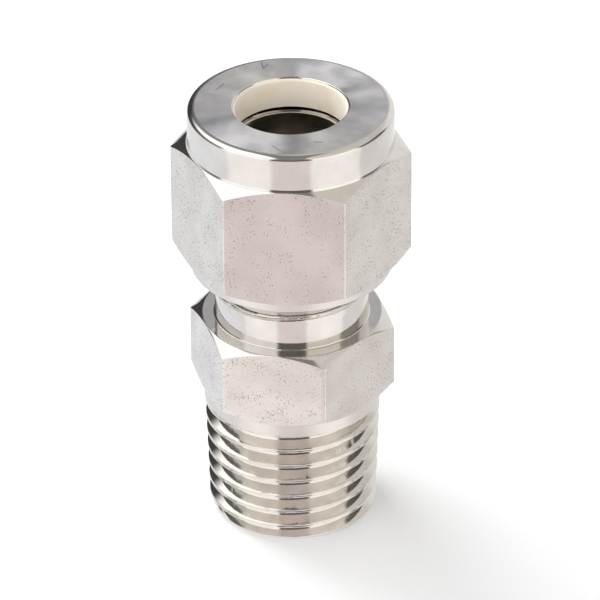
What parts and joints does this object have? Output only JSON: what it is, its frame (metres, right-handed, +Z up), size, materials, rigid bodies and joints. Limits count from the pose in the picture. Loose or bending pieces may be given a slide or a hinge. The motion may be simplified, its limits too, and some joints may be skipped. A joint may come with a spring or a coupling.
{
  "type": "straight adapter",
  "caption": "Straight male adapter: hexagon nut over two ferrules on a hexagon body with a tapered pipe thread below; the nut unscrews and the tube bore runs right through.",
  "frame": {"origin": "middle of the end face of the pipe thread, which the adapter stands on", "axes": "+Z up the tube axis towards the nut; -Y is square to one flat of the body's hexagon"},
  "size_m": [0.0182, 0.0172, 0.0352],
  "materials": {
    "body_steel": "stainless steel, satin hexagon flats, bright turned neck and thread",
    "ferrule_steel": "stainless steel, smooth turned",
    "nut_steel": "stainless steel, satin flats, bright turned collar and face, pale plated bore"
  },
  "bodies": {
    "body": {"body": "body_steel"},
    "ferrules": {"front_ferrule": "ferrule_steel", "back_ferrule": "ferrule_steel"},
    "nut": {"nut": "nut_steel"}
  },
  "joints": [
    {"name": "nut_lift", "type": "slide", "parent": "body", "child": "ferrules", "axis": [0, 0, 1], "range_m": [0, 0.00636]},
    {"name": "nut_turn", "type": "hinge", "parent": "ferrules", "child": "nut", "pos_m": [0, 0, 0.0275], "axis": [0, 0, 1], "range_deg": [0, 1800]}
  ],
  "couplings": [
    {"joint": "nut_lift", "follows": "nut_turn", "m_per_rad": 0.00020213}
  ]
}
